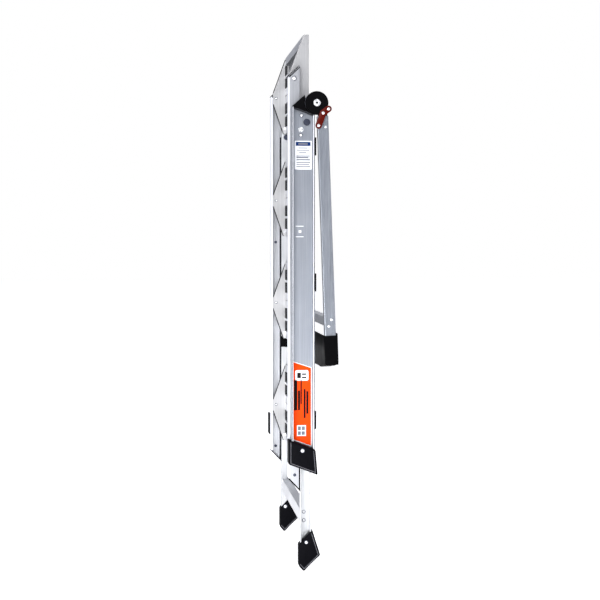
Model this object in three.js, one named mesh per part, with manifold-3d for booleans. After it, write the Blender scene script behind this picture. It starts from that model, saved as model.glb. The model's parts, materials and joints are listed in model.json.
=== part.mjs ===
// Folding step ladder with four deep treads, folded and standing on its front feet.
// Millimetres. +Z is up, +X is the climber's right, and -Y is the climber's side.
// Y = 0 lies in the gap between the link rails and the front rails, and Z = 0 is the toe of the
// front feet; the finished group is then moved so that its origin is at the middle of its base.
import * as THREE from "three";
import { mergeVertices } from "three/addons/utils/BufferGeometryUtils.js";
import Module from "manifold-3d";

const wasm = await Module();
wasm.setup();

// ---- Driving dimensions ----

const stepNames = ["step_1", "step_2", "step_3", "step_4"]; // from the lowest up
const stepPitch = 320; // from tread to tread, along the front rails
const firstPinHeight = 304.5; // lowest tread's rail pin
const treadWidth = 500; // over the cheeks
const frontLean = THREE.MathUtils.degToRad(43.4); // of the front rails, when the ladder is open
const rearLean = THREE.MathUtils.degToRad(20.7); // of the rear rails, when the ladder is open

const gap = 0.3; // between pieces that touch
const pinClearance = 0.3; // radial, where a pin turns in a hole
const railGap = 3; // between a tread's cheek and the front rail, taken up by a collar
const frameGap = 2; // between the link rails and the front rails
const sideGap = 8; // between the front and the rear rails, for the studs' heads and the caps' tongues
const roundSegments = 14; // of a pin
const discSegments = 40; // of a hinge disc

const treadThickness = 15;
const noseReach = 221; // from the rail pin to the front edge of the tread
const heelReach = 17; // from the rail pin to the rear edge
const faceReach = 17; // from the rail pin to the standing surface
const plankGap = 2;
const plankSkin = 3;
const plankEdge = 22; // width of the box along each edge of a plank
const plankRib = 6;
const boxWall = 2.5;
const cheekThickness = 3;
const earTip = 36; // length of the flat end of the cheek's ear
const earMargin = 10.5; // from the link pin to the end of the ear
const heelHeight = 23; // of the cheek's rear edge

const linkReach = { y: -27.5, z: 95 }; // from the rail pin to the link pin
const railPinRadius = 5;
const linkPinRadius = 4;
const sleeveRadius = 7;
const collarRadius = 8.5;
const headRadius = 6.8;
const headThickness = 3;

const frontRail = { depth: 30, width: 26, wall: 2.8, pinInset: 7.2, topMargin: 12, seat: 45 };
const frontFoot = {
  wall: 3.5, toe: 8.7, sole: 64, lip: 5, heel: 3, frontLow: 15, frontTop: 73, backTop: 114,
};
const frontBrace = { height: 36, depth: 25, wall: 2.5, middle: 147 };
const catchPlate = {
  thickness: 2.1, depth: 23, pinClearance: 2, hookThickness: 9.7, hookHeight: 19.5, hookDepth: 9,
};

const linkRail = { depth: 31, width: 25, wall: 2.5, topMargin: 22.5, tail: 159.5 };

const mainPivotDrop = 26.5; // below the top rail pin
const mainPivotInset = 16; // behind the front face of the front rail
const mainBolt = { radius: 6, bush: 9, head: 9.5, headThickness: 5.7, innerHead: 9, innerThickness: 1.7 };

const rearRail = { depth: 63, width: 33, wall: 3, behind: 5, seat: 14 };
const rearFoot = { wall: 3.5, front: 9, back: 2, heel: 8, height: 67 };
const rearBrace = {
  height: 48, wall: 2.5, depth: 6.5, heights: [422, 798, 1170], names: ["lower", "middle", "upper"],
};
const bracePlug = { cover: 13, back: 1, end: 4.7, overhang: 0.5 };
const cap = {
  rise: 72, apexY: 8, innerOverhang: 4, tongueDepth: 28, tongueLength: 84, tongueThickness: 3.7, ear: 27,
};

const handHinge = { behind: 5.7, rise: 51 }; // from the rear rails' backs and from the main pivot
const handTilt = THREE.MathUtils.degToRad(2); // of the folded handrail
const handRail = { depth: 30, width: 26, wall: 2, startGap: 4, end: 660, inset: 0.8, sideInset: 2 };
const handBrace = { height: 25, depth: 22, wall: 2, aboveEnd: 47 };
const knuckle = { radius: 32, thickness: 17.5, overhang: 1, armLength: 80, railClearance: 1.8 };
const hingeBolt = {
  radius: 5, head: 9.5, headThickness: 4.7, innerHead: 8, innerThickness: 2.7, socket: 3.6, socketDepth: 3,
};
const grip = {
  front: 3, back: 4.7, cover: 28, reach: 59, crown: 18, overhang: 1, wall: 3, cells: 5,
  slant: 6, scoop: 30, post: 8,
};

const latch = {
  thickness: 3, halfWidth: 9, rivet: 4, rivetHeight: 1.8, pin: 3, pinLength: 12, pinDepth: 28.5,
};
const latchTail = { y: -13.6, z: -34 }; // of the lever's lower rivet, from its pivot
const latchTip = { y: 15.4, z: 11 }; // of its upper rivet

// ---- Places worked out from them ----

const cheekOuter = treadWidth / 2;
const frontRailInner = cheekOuter + railGap;
const frontRailOuter = frontRailInner + frontRail.width;
const frontRailFront = frameGap / 2;
const frontRailBack = frontRailFront + frontRail.depth;
const linkRailBack = -frameGap / 2;
const linkRailFront = linkRailBack - linkRail.depth;
const linkRailInner = frontRailOuter - linkRail.width;
const linkWebInner = frontRailOuter - linkRail.wall;
const rearRailInner = frontRailOuter + sideGap;
const rearRailOuter = rearRailInner + rearRail.width;
const rearRailBack = frontRailBack + rearRail.behind;
const rearRailFront = rearRailBack - rearRail.depth;
const handRailOuter = rearRailOuter - handRail.sideInset;
const handRailInner = handRailOuter - handRail.width;
const knuckleOuter = rearRailOuter + knuckle.overhang;
const knuckleInner = knuckleOuter - knuckle.thickness;

const railPinY = frontRailFront + frontRail.wall + frontRail.pinInset; // inset from the flange
const railPinHeights = stepNames.map((_, i) => firstPinHeight + i * stepPitch);
const topPinHeight = railPinHeights[stepNames.length - 1];
const frontRailTop = topPinHeight + frontRail.topMargin;
const mainPivot = { y: frontRailFront + mainPivotInset, z: topPinHeight - mainPivotDrop };
const handPivot = { y: rearRailBack + handHinge.behind, z: mainPivot.z + handHinge.rise };

const toeY = frontRailFront + frontFoot.toe;
// Both pairs of feet stand on one floor when the frames are spread.
const openHeight = Math.cos(frontLean) * mainPivot.z - Math.sin(frontLean) * (mainPivot.y - toeY);
function rearSoleAt(y) {
  const drop = openHeight - Math.sin(rearLean) * (mainPivot.y - y);
  return mainPivot.z - drop / Math.cos(rearLean);
}
const rearTopBack = handPivot.z - knuckle.radius - knuckle.railClearance;
const rearTopAt = (y) => rearTopBack + Math.tan(rearLean) * (rearRailBack - y);

// ---- Shapes ----

// Shape coordinates (a, b) become (Y, Z), and the extrusion runs along X.
const alongX = new THREE.Matrix4().makeBasis(
  new THREE.Vector3(0, 1, 0),
  new THREE.Vector3(0, 0, 1),
  new THREE.Vector3(1, 0, 0),
);

function solidOf(geometry) {
  const bare = geometry.clone();
  bare.deleteAttribute("normal");
  bare.deleteAttribute("uv");
  const merged = mergeVertices(bare, 1e-4);
  return new wasm.Manifold(
    new wasm.Mesh({
      numProp: 3,
      vertProperties: merged.attributes.position.array,
      triVerts: new Uint32Array(merged.index.array),
    }),
  );
}

function geometryOf(solid) {
  const mesh = solid.getMesh();
  const positions = new Float32Array(mesh.numVert * 3);
  for (let i = 0; i < mesh.numVert; i++) {
    positions.set(mesh.vertProperties.subarray(i * mesh.numProp, i * mesh.numProp + 3), i * 3);
  }
  const geometry = new THREE.BufferGeometry();
  geometry.setAttribute("position", new THREE.BufferAttribute(positions, 3));
  geometry.setIndex(new THREE.BufferAttribute(mesh.triVerts, 1));
  const faceted = geometry.toNonIndexed();
  faceted.computeVertexNormals();
  return faceted;
}

const outline = (points) => new THREE.Shape(points.map(([a, b]) => new THREE.Vector2(a, b)));

function extruded(shape, depth) {
  return new THREE.ExtrudeGeometry(shape, { depth, bevelEnabled: false });
}

// An outline of [Y, Z] points, from X = from to X = to.
function acrossX(points, from, to) {
  return solidOf(extruded(outline(points), to - from).applyMatrix4(alongX).translate(from, 0, 0));
}

// An outline of [X, Y] points, from Z = from to Z = to.
function upZ(points, from, to) {
  return solidOf(extruded(outline(points), to - from).translate(0, 0, from));
}

// An outline of [X, Z] points, from Y = from to Y = to.
function alongY(points, from, to) {
  const standing = extruded(outline(points), to - from).rotateX(Math.PI / 2);
  return solidOf(standing.translate(0, to, 0));
}

const rectangle = (a0, b0, a1, b1) => [[a0, b0], [a1, b0], [a1, b1], [a0, b1]];

function block(x0, y0, z0, x1, y1, z1) {
  return upZ(rectangle(x0, y0, x1, y1), z0, z1);
}

function rod(radius, from, to, at, segments = roundSegments) {
  const bar = new THREE.CylinderGeometry(radius, radius, to - from, segments);
  return solidOf(bar.rotateZ(Math.PI / 2).translate((from + to) / 2, at.y, at.z));
}

// A stepped pin along X: [X, radius] at each change of size.
function turned(steps, at, segments = roundSegments) {
  const profile = [new THREE.Vector2(0, steps[0][0])];
  steps.forEach(([x, radius]) => profile.push(new THREE.Vector2(radius, x)));
  profile.push(new THREE.Vector2(0, steps[steps.length - 1][0]));
  return solidOf(new THREE.LatheGeometry(profile, segments).rotateZ(-Math.PI / 2).translate(0, at.y, at.z));
}

// A channel whose web faces the middle of the ladder and whose open side faces out, or the reverse.
function channelOutline(inner, outer, front, back, wall, opensOut) {
  const [web, tip] = opensOut ? [inner, outer] : [outer, inner];
  const cavity = web + (opensOut ? wall : -wall);
  const points = [
    [web, front], [tip, front], [tip, front + wall], [cavity, front + wall],
    [cavity, back - wall], [tip, back - wall], [tip, back], [web, back],
  ];
  return opensOut ? points : points.reverse();
}

// ---- Finishes ----

function finish(color, roughness, metalness) {
  return () => new THREE.MeshStandardMaterial({ color, roughness, metalness });
}

const aluminium = finish(0xb8bbc2, 0.38, 1.0);
const brightAluminium = finish(0xd2d4d9, 0.3, 1.0);
const zincSteel = finish(0xc9ccd0, 0.25, 1.0);
const darkSteel = finish(0x2c3038, 0.35, 1.0);
const blackPlastic = finish(0x0d0d10, 0.42, 0.0);
const redPlastic = finish(0x6a1208, 0.35, 0.0);

// ---- The assembly ----

const ladder = new THREE.Group();

function place(group, name, solid, material) {
  const mesh = new THREE.Mesh(geometryOf(solid), material());
  mesh.name = name;
  group.add(mesh);
}

// A group with a right side and its mirror image.
function sided(parent) {
  const right = new THREE.Group();
  const left = new THREE.Group();
  left.scale.x = -1;
  parent.add(right, left);
  return { middle: parent, right, left };
}

function placePair(frame, name, solid, material) {
  place(frame.right, `${name}_right`, solid, material);
  place(frame.left, `${name}_left`, solid, material);
}

// Front frame: the climbing rails, their feet and brace, and the bolts that the rear frame turns on.

function frontRailSolid() {
  const section = channelOutline(
    frontRailInner, frontRailOuter, frontRailFront, frontRailBack, frontRail.wall, true,
  );
  let rail = upZ(section, frontRail.seat, frontRailTop);
  const [from, to] = [frontRailInner - 1, frontRailInner + frontRail.wall + 1];
  for (const z of railPinHeights) {
    rail = rail.subtract(rod(railPinRadius + pinClearance, from, to, { y: railPinY, z }));
  }
  return rail.subtract(rod(mainBolt.radius + pinClearance, from, to, mainPivot));
}

function frontFootSolid() {
  const front = frontRailFront - frontFoot.lip;
  const profile = [
    [toeY, 0],
    [toeY + frontFoot.sole * Math.cos(frontLean), frontFoot.sole * Math.sin(frontLean)],
    [frontRailBack + frontFoot.heel, frontFoot.backTop],
    [front, frontFoot.frontTop],
    [front, frontFoot.frontLow],
  ];
  const boot = acrossX(profile, frontRailInner - frontFoot.wall, frontRailOuter + frontFoot.wall);
  const socket = channelOutline(
    frontRailInner - gap, frontRailOuter + gap, frontRailFront - gap, frontRailBack + gap,
    frontRail.wall + 2 * gap, true,
  );
  return boot.subtract(upZ(socket, frontRail.seat - gap, frontFoot.backTop + 1));
}

function braceSection(front, back, bottom, top, wall) {
  return [
    [front, bottom], [back, bottom], [back, bottom + wall], [front + wall, bottom + wall],
    [front + wall, top - wall], [back, top - wall], [back, top], [front, top],
  ];
}

function frontBraceSolid() {
  const front = frontRailFront + (frontRail.depth - frontBrace.depth) / 2;
  const bottom = frontBrace.middle - frontBrace.height / 2;
  const section = braceSection(
    front, front + frontBrace.depth, bottom, bottom + frontBrace.height, frontBrace.wall,
  );
  return acrossX(section, -frontRailInner + gap, frontRailInner - gap);
}

function mainBoltSolid() {
  const b = mainBolt;
  const inner = frontRailInner - gap;
  const throughFront = frontRailInner + frontRail.wall + gap;
  const bushEnd = rearRailInner - gap;
  const outer = rearRailInner + rearRail.wall + gap;
  return turned([
    [inner - b.innerThickness, b.innerHead], [inner, b.innerHead],
    [inner, b.radius], [throughFront, b.radius],
    [throughFront, b.bush], [bushEnd, b.bush],
    [bushEnd, b.radius], [outer, b.radius],
    [outer, b.head], [outer + b.headThickness, b.head],
  ], mainPivot, 18);
}

// A clip on the inner face of one front rail, just below the heel of the second tread. Its hook is
// at the back, where the tread's ear doesn't reach when it swings down.
function storageCatchSolid() {
  const c = catchPlate;
  const outer = frontRailInner - gap;
  const swing = Math.hypot(heelReach, faceReach) + 1;
  const hookTop = railPinHeights[1] - swing;
  const bottom = hookTop - c.hookHeight;
  const front = frontRailFront - 2;
  const back = front + c.depth;
  const top = railPinHeights[1] - collarRadius - c.pinClearance;
  const plate = block(outer - c.thickness, front, bottom, outer, back, top);
  return plate.add(block(outer - c.hookThickness, back - c.hookDepth, bottom, outer, back, hookTop));
}

const frontFrame = sided(ladder);
placePair(frontFrame, "front_rail", frontRailSolid(), aluminium);
placePair(frontFrame, "front_foot", frontFootSolid(), blackPlastic);
place(ladder, "front_brace", frontBraceSolid(), aluminium);
placePair(frontFrame, "main_pivot_bolt", mainBoltSolid(), darkSteel);
place(frontFrame.left, "storage_catch", storageCatchSolid(), blackPlastic);

// Treads: two planks between two cheeks, turning on pins in the front rails. The stud on each ear
// carries a link rail. Places here are counted from the tread's rail pin.

function plankSolid(bottom, top) {
  const skin = faceReach - plankSkin;
  const under = faceReach - treadThickness;
  const middle = (bottom + top) / 2;
  const half = cheekOuter - cheekThickness - gap;
  const section = [
    [faceReach, bottom], [faceReach, top], [under, top], [under, top - plankEdge],
    [skin, top - plankEdge], [skin, middle + plankRib / 2], [under, middle + plankRib / 2],
    [under, middle - plankRib / 2], [skin, middle - plankRib / 2], [skin, bottom + plankEdge],
    [under, bottom + plankEdge], [under, bottom],
  ];
  let plank = acrossX(section, -half, half);
  for (const start of [bottom, top - plankEdge]) {
    const end = start + plankEdge;
    const bore = rectangle(under + boxWall, start + boxWall, faceReach - boxWall, end - boxWall);
    plank = plank.subtract(acrossX(bore, -half - 1, half + 1));
  }
  return plank;
}

function cheekSolid() {
  const tip = linkReach.y - earMargin;
  const outlinePoints = [
    [faceReach, -heelReach], [faceReach, noseReach], [faceReach - treadThickness, noseReach],
    [tip, linkReach.z + earTip / 2 - 1], [tip, linkReach.z - earTip / 2 - 1],
    [faceReach - heelHeight, -heelReach],
  ];
  const plate = acrossX(outlinePoints, cheekOuter - cheekThickness, cheekOuter);
  const [from, to] = [cheekOuter - cheekThickness - 1, cheekOuter + 1];
  const bore = rod(railPinRadius + pinClearance, from, to, { y: 0, z: 0 });
  const stud = turned([
    [cheekOuter - 1, sleeveRadius], [linkWebInner - gap, sleeveRadius],
    [linkWebInner - gap, linkPinRadius], [frontRailOuter + gap, linkPinRadius],
    [frontRailOuter + gap, headRadius], [frontRailOuter + gap + headThickness, headRadius],
  ], linkReach);
  return plate.subtract(bore).add(stud);
}

function railPinSolid() {
  const outer = frontRailInner + frontRail.wall + gap;
  return turned([
    [cheekOuter - cheekThickness + gap, railPinRadius], [cheekOuter + gap, railPinRadius],
    [cheekOuter + gap, collarRadius], [frontRailInner - gap, collarRadius],
    [frontRailInner - gap, railPinRadius], [outer, railPinRadius],
    [outer, headRadius], [outer + headThickness, headRadius],
  ], { y: 0, z: 0 });
}

const plankWidth = (noseReach + heelReach - plankGap) / 2;
const frontPlank = plankSolid(noseReach - plankWidth, noseReach);
const rearPlank = plankSolid(-heelReach, plankWidth - heelReach);
const cheek = cheekSolid();
const railPin = railPinSolid();

stepNames.forEach((name, i) => {
  const tread = new THREE.Group();
  tread.position.set(0, railPinY, railPinHeights[i]);
  ladder.add(tread);
  const frame = sided(tread);
  place(tread, `${name}_front_plank`, frontPlank, brightAluminium);
  place(tread, `${name}_rear_plank`, rearPlank, brightAluminium);
  placePair(frame, `${name}_cheek`, cheek, aluminium);
  placePair(frame, `${name}_pin`, railPin, zincSteel);
});

// Link rails: they hang on the ears' studs and keep the treads parallel. Their top end is cut level
// and their bottom end plumb as they stand when the ladder is open.

function linkRailSolid() {
  const topAt = topPinHeight + linkReach.z + linkRail.topMargin;
  const bottomAt = firstPinHeight + linkReach.z - linkRail.tail;
  const topSlope = (linkRail.depth / 2) * Math.tan(frontLean);
  const bottomSlope = linkRail.depth / 2 / Math.tan(frontLean);
  const side = [
    [linkRailFront, bottomAt + bottomSlope], [linkRailBack, bottomAt - bottomSlope],
    [linkRailBack, topAt + topSlope], [linkRailFront, topAt - topSlope],
  ];
  const section = channelOutline(
    linkRailInner, frontRailOuter, linkRailFront, linkRailBack, linkRail.wall, false,
  );
  let rail = upZ(section, bottomAt - 2 * bottomSlope, topAt + 2 * topSlope);
  rail = rail.intersect(acrossX(side, linkRailInner - 1, frontRailOuter + 1));
  for (const z of railPinHeights) {
    const at = { y: railPinY + linkReach.y, z: z + linkReach.z };
    rail = rail.subtract(rod(linkPinRadius + pinClearance, linkWebInner - 1, frontRailOuter + 1, at));
  }
  return rail;
}

placePair(frontFrame, "link_rail", linkRailSolid(), brightAluminium);

// Rear frame: deep channel rails with feet below, hinge caps above and braces across the back.

function rearRailSolid() {
  const side = [
    [rearRailFront, rearSoleAt(rearRailFront) + rearRail.seat],
    [rearRailBack, rearSoleAt(rearRailBack) + rearRail.seat],
    [rearRailBack, rearTopAt(rearRailBack)],
    [rearRailFront, rearTopAt(rearRailFront)],
  ];
  const section = channelOutline(
    rearRailInner, rearRailOuter, rearRailFront, rearRailBack, rearRail.wall, true,
  );
  let rail = upZ(section, rearSoleAt(rearRailBack), rearTopAt(rearRailFront));
  rail = rail.intersect(acrossX(side, rearRailInner - 1, rearRailOuter + 1));
  const throughWeb = rod(
    mainBolt.radius + pinClearance, rearRailInner - 1, rearRailInner + rearRail.wall + 1, mainPivot,
  );
  return rail.subtract(throughWeb);
}

function rearFootSolid() {
  const front = rearRailFront - rearFoot.front;
  const back = rearRailBack + rearFoot.back;
  const heel = rearRailBack + rearFoot.heel;
  const profile = [
    [front, rearSoleAt(front)], [heel, rearSoleAt(heel)],
    [back, rearSoleAt(back) + rearFoot.height], [front, rearSoleAt(front) + rearFoot.height],
  ];
  const boot = acrossX(profile, rearRailInner - rearFoot.wall, rearRailOuter + rearFoot.wall);
  const socket = channelOutline(
    rearRailInner - gap, rearRailOuter + gap, rearRailFront - gap, rearRailBack + gap,
    rearRail.wall + 2 * gap, true,
  );
  const [low, high] = [rearSoleAt(heel), rearSoleAt(front) + rearFoot.height + 1];
  const seat = [
    [front, rearSoleAt(front) + rearRail.seat - gap], [heel, rearSoleAt(heel) + rearRail.seat - gap],
    [heel, high + 1], [front, high + 1],
  ];
  const [inner, outer] = [rearRailInner - rearFoot.wall, rearRailOuter + rearFoot.wall];
  return boot.subtract(upZ(socket, low, high).intersect(acrossX(seat, inner, outer)));
}

function rearBraceSolid(middle) {
  const back = rearRailBack + gap + rearBrace.wall;
  const half = rearBrace.height / 2;
  const section = braceSection(-back, rearBrace.depth - back, middle - half, middle + half, rearBrace.wall);
  const facingFront = section.map(([y, z]) => [-y, z]).reverse();
  const trough = acrossX(facingFront, -rearRailInner + 2 * gap, rearRailInner - 2 * gap);
  const reach = rearRailOuter - bracePlug.end + 1;
  return trough.add(block(-reach, back - rearBrace.wall, middle - half, reach, back, middle + half));
}

function bracePlugSolid(middle) {
  const webBack = rearRailBack + gap + rearBrace.wall;
  const webEnd = rearRailOuter - bracePlug.end + 1;
  const half = rearBrace.height / 2 + bracePlug.overhang;
  const outer = webEnd + gap + bracePlug.end;
  const [front, back] = [rearRailBack + gap, webBack + gap + bracePlug.back];
  const body = block(webEnd - bracePlug.cover, front, middle - half, outer, back, middle + half);
  const slot = block(
    webEnd - bracePlug.cover - 1, front - 1, middle - half - 1,
    webEnd + gap, webBack + gap, middle + half + 1,
  );
  return body.subtract(slot);
}

function capSolid() {
  const inner = rearRailInner - cap.innerOverhang;
  const outer = rearRailOuter;
  const seatAt = (y) => rearTopAt(y) + gap;
  const profile = [
    [rearRailFront, seatAt(rearRailFront)], [rearRailBack, seatAt(rearRailBack)],
    [handPivot.y, handPivot.z - cap.ear], [handPivot.y, handPivot.z],
    [handPivot.y - cap.ear, handPivot.z], [cap.apexY, mainPivot.z + cap.rise],
  ];
  const tongueFront = mainPivot.y - mainBolt.bush - 2 * gap - cap.tongueDepth;
  const tongueTop = seatAt(tongueFront);
  const tongue = block(
    inner, tongueFront, tongueTop - cap.tongueLength, inner + cap.tongueThickness,
    tongueFront + cap.tongueDepth, tongueTop + 1,
  );
  const earFace = knuckleInner - gap;
  return acrossX(profile, inner, outer)
    .add(rod(cap.ear, inner, earFace, handPivot, discSegments))
    .subtract(rod(knuckle.radius + 1, earFace, outer + 1, handPivot, discSegments))
    .subtract(rod(hingeBolt.radius + pinClearance, inner - 1, outer + 1, handPivot))
    .add(tongue);
}

const rearFrame = sided(ladder);
placePair(rearFrame, "rear_rail", rearRailSolid(), aluminium);
placePair(rearFrame, "rear_foot", rearFootSolid(), blackPlastic);
placePair(rearFrame, "hinge_cap", capSolid(), blackPlastic);
rearBrace.names.forEach((name, i) => {
  const middle = rearBrace.heights[i];
  place(ladder, `rear_brace_${name}`, rearBraceSolid(middle), aluminium);
  placePair(rearFrame, `brace_plug_${name}`, bracePlugSolid(middle), blackPlastic);
});

// Handrail: hangs folded behind the rear rails. It is drawn hanging straight down from its hinge
// axis, and its group then leans it back.

const handrail = new THREE.Group();
handrail.position.set(0, handPivot.y, handPivot.z);
handrail.rotation.x = handTilt;
ladder.add(handrail);
const handFrame = sided(handrail);
const hingeAxis = { y: 0, z: 0 };
const handBack = handRail.inset + handRail.depth;
const handMiddle = (handRail.inset + handBack) / 2;
const latchPivot = { y: handMiddle, z: -latch.pinDepth };

function handRailSolid() {
  const side = rectangle(handRailInner, handRail.inset, handRailOuter, handBack);
  const w = handRail.wall;
  const bore = rectangle(handRailInner + w, handRail.inset + w, handRailOuter - w, handBack - w);
  const start = knuckle.radius + handRail.startGap;
  return upZ(side, -handRail.end, -start).subtract(upZ(bore, -handRail.end - 1, 1 - start));
}

function handBraceSolid() {
  const half = handRailInner - gap;
  const [front, back] = [handMiddle - handBrace.depth / 2, handMiddle + handBrace.depth / 2];
  const bottom = handBrace.aboveEnd - handRail.end;
  const top = bottom + handBrace.height;
  const w = handBrace.wall;
  const tube = acrossX(rectangle(front, bottom, back, top), -half, half);
  return tube.subtract(acrossX(rectangle(front + w, bottom + w, back - w, top - w), -half - 1, half + 1));
}

function knuckleSolid() {
  const side = handRail.wall + gap;
  const arm = block(
    knuckleInner, handRail.inset + side, -knuckle.armLength,
    handRailOuter - side, handBack - side, 0,
  );
  const latchBore = knuckleOuter - latch.pinLength - gap;
  return rod(knuckle.radius, knuckleInner, knuckleOuter, hingeAxis, discSegments)
    .add(arm)
    .subtract(rod(hingeBolt.radius + pinClearance, knuckleInner - 1, knuckleOuter + 1, hingeAxis))
    .subtract(rod(latch.pin + pinClearance, latchBore, knuckleOuter + 1, latchPivot));
}

function hingeBoltSolid() {
  const b = hingeBolt;
  const inner = rearRailInner - cap.innerOverhang - gap;
  const outer = knuckleOuter + gap;
  const end = outer + b.headThickness;
  const bolt = turned([
    [inner - b.innerThickness, b.innerHead], [inner, b.innerHead],
    [inner, b.radius], [outer, b.radius], [outer, b.head], [end, b.head],
  ], hingeAxis, 18);
  return bolt.subtract(rod(b.socket, end - b.socketDepth, end + 1, hingeAxis, 6));
}

// The lower edge of the grip bows down between its ends.
function crownedOutline(halfWidth, top, end, crown) {
  const edge = new THREE.SplineCurve(
    [[-1, 0], [-0.85, 0.3], [-0.55, 0.85], [0, 1], [0.55, 0.85], [0.85, 0.3], [1, 0]]
      .map(([across, share]) => new THREE.Vector2(across * halfWidth, -end - crown * share)),
  );
  return [...edge.getPoints(24).map((p) => [p.x, p.y]), [halfWidth, -top], [-halfWidth, -top]];
}

// Its top slants down to the front, and between the rails' sockets it is scooped down to the back,
// for the hand.
function gripSolid() {
  const { wall, crown, cells } = grip;
  const halfWidth = rearRailOuter + grip.overhang;
  const [front, back] = [handRail.inset - grip.front, handBack + grip.back];
  const [start, end] = [handRail.end - grip.cover, handRail.end + grip.reach];
  const shell = alongY(crownedOutline(halfWidth, start, end, crown), front, back);
  const room = halfWidth - wall + gap;
  const hollow = crownedOutline(room, start - 1, end - wall, crown);
  let cavity = alongY(hollow, handRail.inset - gap, back - wall);
  for (let i = 1; i < cells; i++) {
    const x = room * ((2 * i) / cells - 1);
    cavity = cavity.subtract(
      block(x - wall / 2, front, -end - crown, x + wall / 2, back, -start - 0.5),
    );
  }
  const above = (frontDrop, backDrop, half) => acrossX([
    [front - 1, -start - frontDrop], [back + 1, -start - backDrop], [back + 1, 1], [front - 1, 1],
  ], -half, half);
  return shell
    .subtract(cavity)
    .subtract(above(grip.slant, 0, halfWidth + 1))
    .subtract(above(grip.slant, grip.scoop, handRailInner - grip.post));
}

function latchSolid() {
  const inner = knuckleOuter + gap;
  const outer = inner + latch.thickness;
  const points = [latchTail, { y: 0, z: 0 }, latchTip].map((p) => ({
    y: latchPivot.y + p.y,
    z: latchPivot.z + p.z,
  }));
  let lever = rod(latch.pin, inner - latch.pinLength, outer, latchPivot);
  points.forEach((point, i) => {
    lever = lever.add(rod(latch.halfWidth, inner, outer, point, 20));
    lever = lever.add(rod(latch.rivet, outer - 1, outer + latch.rivetHeight, point, 10));
    if (i === 0) return;
    const from = points[i - 1];
    const run = Math.hypot(point.y - from.y, point.z - from.z);
    const across = [-(point.z - from.z) / run, (point.y - from.y) / run].map((v) => v * latch.halfWidth);
    const strap = [
      [from.y - across[0], from.z - across[1]], [point.y - across[0], point.z - across[1]],
      [point.y + across[0], point.z + across[1]], [from.y + across[0], from.z + across[1]],
    ];
    lever = lever.add(acrossX(strap, inner, outer));
  });
  return lever;
}

placePair(handFrame, "handrail_rail", handRailSolid(), aluminium);
place(handrail, "handrail_brace", handBraceSolid(), aluminium);
placePair(handFrame, "hinge_knuckle", knuckleSolid(), blackPlastic);
placePair(handFrame, "hinge_bolt", hingeBoltSolid(), zincSteel);
place(handrail, "handrail_grip", gripSolid(), blackPlastic);
placePair(handFrame, "latch_lever", latchSolid(), redPlastic);

// The origin: the middle of the base.
const bounds = new THREE.Box3().setFromObject(ladder);
ladder.position.y = -(bounds.min.y + bounds.max.y) / 2;

export default ladder;
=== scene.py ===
import json
import math

import bmesh
import bpy
from mathutils import Matrix, Vector


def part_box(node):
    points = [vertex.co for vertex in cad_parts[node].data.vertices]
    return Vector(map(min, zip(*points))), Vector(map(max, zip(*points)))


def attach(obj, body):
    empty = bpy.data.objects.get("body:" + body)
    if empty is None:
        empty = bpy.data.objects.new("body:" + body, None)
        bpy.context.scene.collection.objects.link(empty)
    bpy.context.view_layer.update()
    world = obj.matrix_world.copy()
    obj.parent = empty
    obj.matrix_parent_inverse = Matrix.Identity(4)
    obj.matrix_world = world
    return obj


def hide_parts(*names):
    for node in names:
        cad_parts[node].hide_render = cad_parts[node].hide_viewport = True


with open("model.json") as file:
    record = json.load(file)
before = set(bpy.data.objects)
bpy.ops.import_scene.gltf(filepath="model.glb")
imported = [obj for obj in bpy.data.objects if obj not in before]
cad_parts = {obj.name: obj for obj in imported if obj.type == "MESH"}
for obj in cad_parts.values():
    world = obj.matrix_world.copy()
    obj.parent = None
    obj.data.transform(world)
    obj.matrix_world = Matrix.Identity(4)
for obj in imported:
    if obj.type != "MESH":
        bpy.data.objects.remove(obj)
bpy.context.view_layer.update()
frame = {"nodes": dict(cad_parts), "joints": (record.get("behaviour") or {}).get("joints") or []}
nodes = frame["nodes"]
pivots = {j["name"]: Vector(j["pos_m"]) for j in frame["joints"]}
steps = ["step_1", "step_2", "step_3", "step_4"]
sides = {"right": 1, "left": -1}
mm = 0.001
print("ladder loaded:", len(nodes), "CAD nodes")

# where the frames are, all from the right hand side
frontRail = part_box("front_rail_right")
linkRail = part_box("link_rail_right")
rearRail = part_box("rear_rail_right")
mainPivot = pivots["rear_frame_fold"]
handPivot = pivots["handrail_fold"]
railPins = [pivots[n] for n in ("step_fold", "step_2_fold", "step_3_fold", "step_4_fold")]
linkPin = pivots["link_rail_pivot"] - pivots["step_fold"]  # from a tread's rail pin to its link stud
handTilt = math.radians(2)  # the folded handrail leans back a little
frontLean = math.radians(43.4)  # the open ladder's front rails, from plumb
rearLean = math.radians(20.7)  # and its rear rails

camera = {
    "place": (4.063, -0.458, 0.903),
    "turn": 6.4,  # degrees from square on
    "lens": 82.8,
    "drop": -0.0933,  # lens shift, so that the rails stay plumb
}


def addCamera():
    data = bpy.data.cameras.new("camera")
    data.lens = camera["lens"]
    data.sensor_width = 36
    data.shift_y = camera["drop"]
    data.clip_end = 60
    cam = bpy.data.objects.new("camera", data)
    turn = math.radians(camera["turn"])
    aim = Vector((-math.cos(turn), math.sin(turn), 0))
    cam.location = camera["place"]
    cam.rotation_euler = aim.to_track_quat("-Z", "Y").to_euler()
    bpy.context.scene.collection.objects.link(cam)
    bpy.context.scene.camera = cam


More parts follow.
